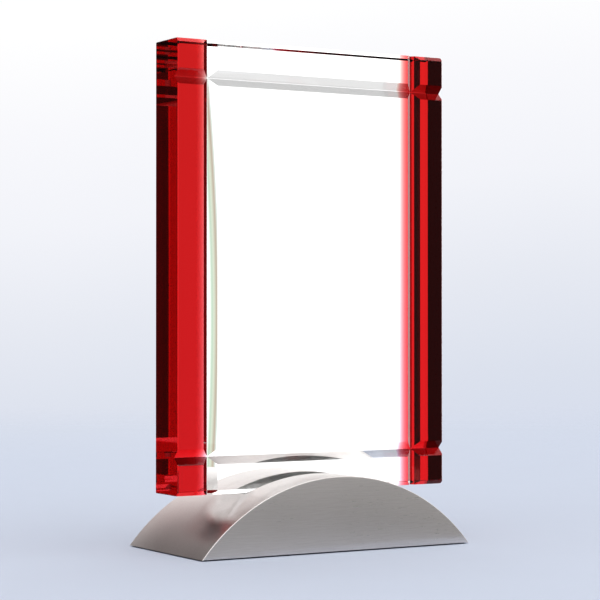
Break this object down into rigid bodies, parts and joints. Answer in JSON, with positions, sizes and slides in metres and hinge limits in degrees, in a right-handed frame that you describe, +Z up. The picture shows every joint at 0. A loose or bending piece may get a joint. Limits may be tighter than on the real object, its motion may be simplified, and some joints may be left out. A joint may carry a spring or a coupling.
{
  "type": "crystal award",
  "caption": "Upright clear crystal tablet with ruby side bars and V-grooved front, bonded into a slot across an arched brushed aluminium base.",
  "frame": {"origin": "on the standing surface, under the middle of the base", "axes": "+Z up, the engraved front faces -Y, +X to the right as seen from the front"},
  "size_m": [0.142, 0.071, 0.2295],
  "materials": {
    "clear_crystal": "polished",
    "ruby_crystal": "polished",
    "cured_adhesive": "clear",
    "brushed_aluminium": "brushed",
    "black_felt": "felt"
  },
  "bodies": {
    "root": {"clear_plate": "clear_crystal", "red_bar_left": "ruby_crystal", "red_bar_right": "ruby_crystal", "bond_film_left": "cured_adhesive", "bond_film_right": "cured_adhesive", "slot_adhesive": "cured_adhesive", "base_block": "brushed_aluminium", "felt_pad": "black_felt"}
  },
  "joints": []
}
